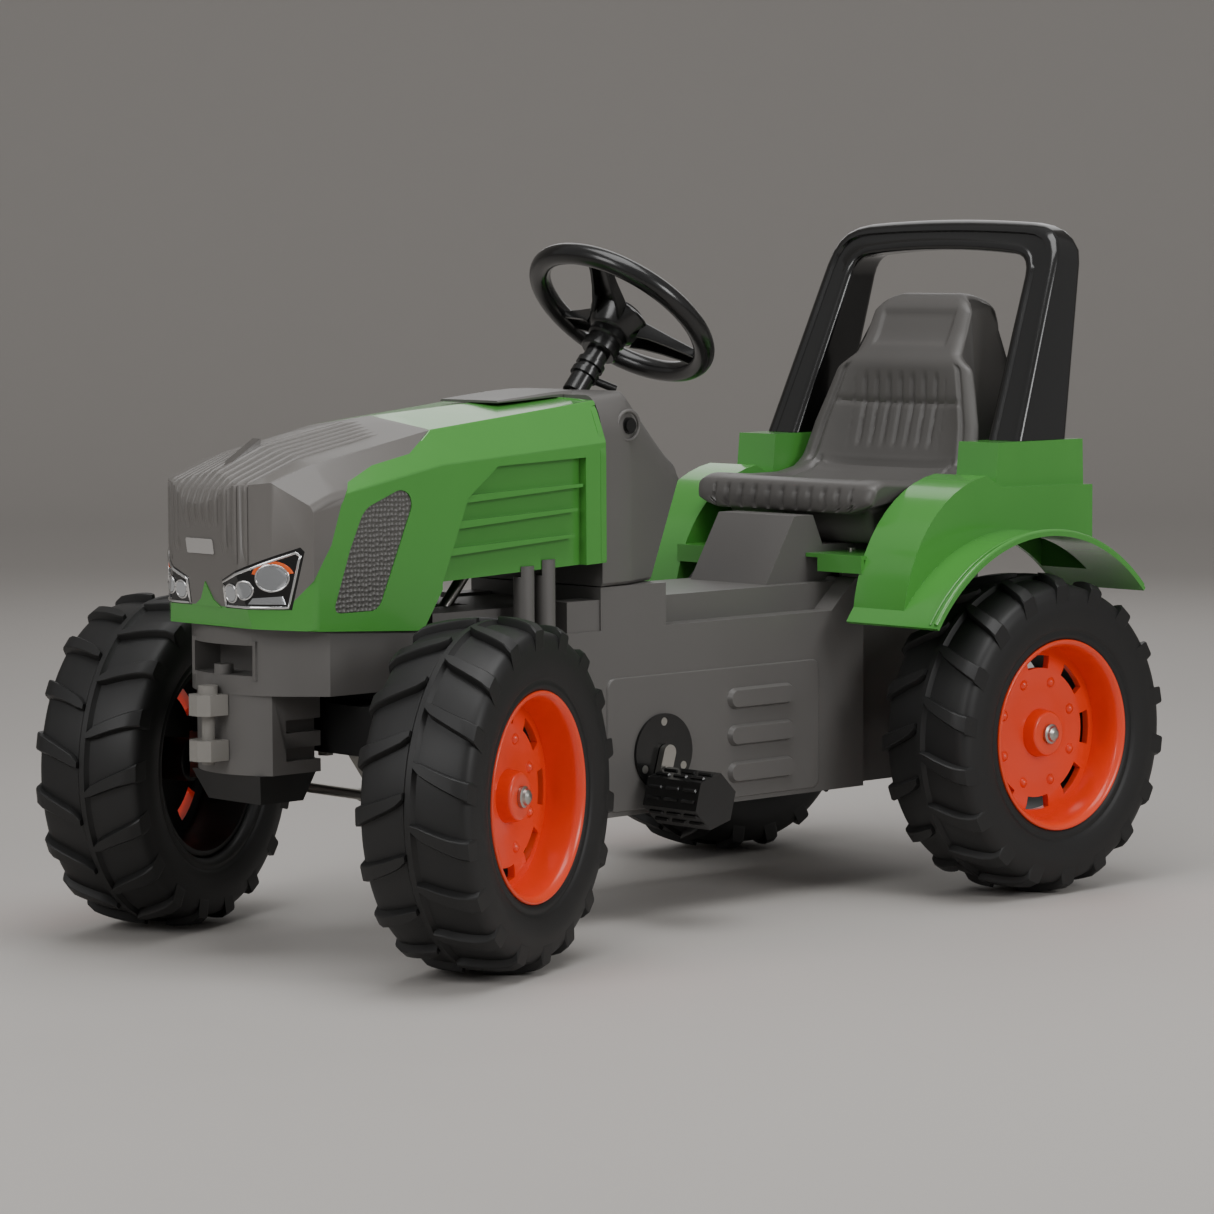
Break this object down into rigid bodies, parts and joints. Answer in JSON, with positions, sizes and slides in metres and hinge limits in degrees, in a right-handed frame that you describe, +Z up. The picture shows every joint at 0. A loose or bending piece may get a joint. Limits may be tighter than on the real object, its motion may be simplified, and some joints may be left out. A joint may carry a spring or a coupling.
{
  "type": "child's pedal tractor",
  "caption": "Child's ride-on pedal tractor with lugged wheels, steered front axle, chain-driven rear axle, sliding bucket seat, roll bar and tow coupling.",
  "frame": {"origin": "on the ground under the middle of the whole toy's box", "axes": "+X forward, +Y to the rider's left, +Z up"},
  "size_m": [1.0909, 0.6506, 0.6839],
  "materials": {
    "tyre_black": "matte",
    "rim_orange": "gloss",
    "zinc_steel": "satin",
    "body_grey": "satin",
    "seat_grey": "satin",
    "hood_grey": "satin",
    "light_grey": "satin",
    "green_gloss": "gloss",
    "black_plastic": "satin",
    "black_moulded": "satin",
    "lamp_panel": "gloss",
    "grille_grey": "textured",
    "silver_trim": "polished"
  },
  "bodies": {
    "root": {"axle_bolts": "zinc_steel", "axle_guard": "black_moulded", "bearing_screws": "zinc_steel", "belly_cover": "body_grey", "body_screws": "zinc_steel", "bonnet_insert": "hood_grey", "column_sleeve": "black_plastic", "coupling_jaw_lower": "light_grey", "coupling_jaw_upper": "light_grey", "coupling_pin": "light_grey", "crank_bearing_left": "black_plastic", "crank_bearing_right": "black_plastic", "dash_housing": "body_grey", "dash_knob": "black_plastic", "drive_chain": "zinc_steel", "fender_left": "green_gloss", "fender_right": "green_gloss", "front_axle_beam": "black_moulded", "front_bumper": "body_grey", "headlight_left": "lamp_panel", "headlight_right": "lamp_panel", "hood_shell": "green_gloss", "main_body": "body_grey", "nose_plate": "silver_trim", "ornament_bar": "silver_trim", "rear_bush_left": "black_moulded", "rear_bush_right": "black_moulded", "roll_bar": "black_plastic", "side_grille_left": "grille_grey", "side_grille_right": "grille_grey", "tow_bracket": "black_moulded"},
    "front_left_knuckle": {"knuckle_left": "zinc_steel", "kingpin_left": "zinc_steel", "axle_cap_front_left": "zinc_steel"},
    "front_right_knuckle": {"knuckle_right": "zinc_steel", "kingpin_right": "zinc_steel", "axle_cap_front_right": "zinc_steel"},
    "front_left_wheel": {"tyre_front_left": "tyre_black", "rim_front_left": "rim_orange"},
    "front_right_wheel": {"tyre_front_right": "tyre_black", "rim_front_right": "rim_orange"},
    "track_rod": {"tie_rod": "zinc_steel"},
    "steering": {"steering_rod": "zinc_steel", "steering_wheel": "black_plastic", "wheel_cap": "black_plastic"},
    "drive_axle": {"rear_axle": "zinc_steel", "axle_sprocket": "zinc_steel", "tyre_rear_left": "tyre_black", "rim_rear_left": "rim_orange", "axle_cap_rear_left": "zinc_steel", "axle_cap_rear_right": "zinc_steel"},
    "rear_right_wheel": {"tyre_rear_right": "tyre_black", "rim_rear_right": "rim_orange"},
    "crank": {"crankshaft": "zinc_steel", "chainring": "zinc_steel"},
    "left_pedal": {"pedal_left": "black_plastic"},
    "right_pedal": {"pedal_right": "black_plastic"},
    "seat": {"seat_shell": "seat_grey", "seat_bolts": "zinc_steel"}
  },
  "joints": [
    {"name": "front_left_steer", "type": "hinge", "parent": "root", "child": "front_left_knuckle", "pos_m": [0.3655, 0.1755, 0.1625], "axis": [0, 0, 1], "range_deg": [-50, 6]},
    {"name": "front_right_steer", "type": "hinge", "parent": "root", "child": "front_right_knuckle", "pos_m": [0.3655, -0.1755, 0.1625], "axis": [0, 0, 1], "range_deg": [-50, 6]},
    {"name": "track_rod_pivot", "type": "hinge", "parent": "front_left_knuckle", "child": "track_rod", "pos_m": [0.31665, 0.15576, 0.14], "axis": [0, 0, 1], "range_deg": [-6, 50]},
    {"name": "steering_column", "type": "hinge", "parent": "root", "child": "steering", "pos_m": [0.038, 0, 0.519], "axis": [-0.6455, 0, 0.7638], "range_deg": [-53, 7]},
    {"name": "front_left_spin", "type": "hinge", "parent": "front_left_knuckle", "child": "front_left_wheel", "pos_m": [0.34864, 0.21722, 0.1625], "axis": [-0.3746, 0.9272, 0], "continuous": true},
    {"name": "front_right_spin", "type": "hinge", "parent": "front_right_knuckle", "child": "front_right_wheel", "pos_m": [0.38236, -0.21722, 0.1625], "axis": [-0.3746, 0.9272, 0], "continuous": true},
    {"name": "drive_axle_spin", "type": "hinge", "parent": "root", "child": "drive_axle", "pos_m": [-0.3775, 0, 0.1625], "axis": [0, 1, 0], "continuous": true, "deforming": ["drive_chain"]},
    {"name": "rear_right_spin", "type": "hinge", "parent": "drive_axle", "child": "rear_right_wheel", "pos_m": [-0.3775, -0.2205, 0.1625], "axis": [0, 1, 0], "continuous": true},
    {"name": "crank_spin", "type": "hinge", "parent": "root", "child": "crank", "pos_m": [0.01545, 0, 0.164], "axis": [0, 1, 0], "continuous": true, "deforming": ["drive_chain"]},
    {"name": "left_pedal_spin", "type": "hinge", "parent": "crank", "child": "left_pedal", "pos_m": [0.02773, 0.147, 0.12384], "axis": [0, 1, 0], "continuous": true},
    {"name": "right_pedal_spin", "type": "hinge", "parent": "crank", "child": "right_pedal", "pos_m": [0.00317, -0.147, 0.20417], "axis": [0, 1, 0], "continuous": true},
    {"name": "seat_slide", "type": "slide", "parent": "root", "child": "seat", "axis": [1, 0, 0], "range_m": [0, 0.025]}
  ],
  "couplings": [
    {"joint": "front_right_steer", "follows": "front_left_steer", "ratio": 1},
    {"joint": "track_rod_pivot", "follows": "front_left_steer", "ratio": -1},
    {"joint": "steering_column", "follows": "front_left_steer", "ratio": 1.05},
    {"joint": "crank_spin", "follows": "drive_axle_spin", "ratio": 0.5}
  ]
}
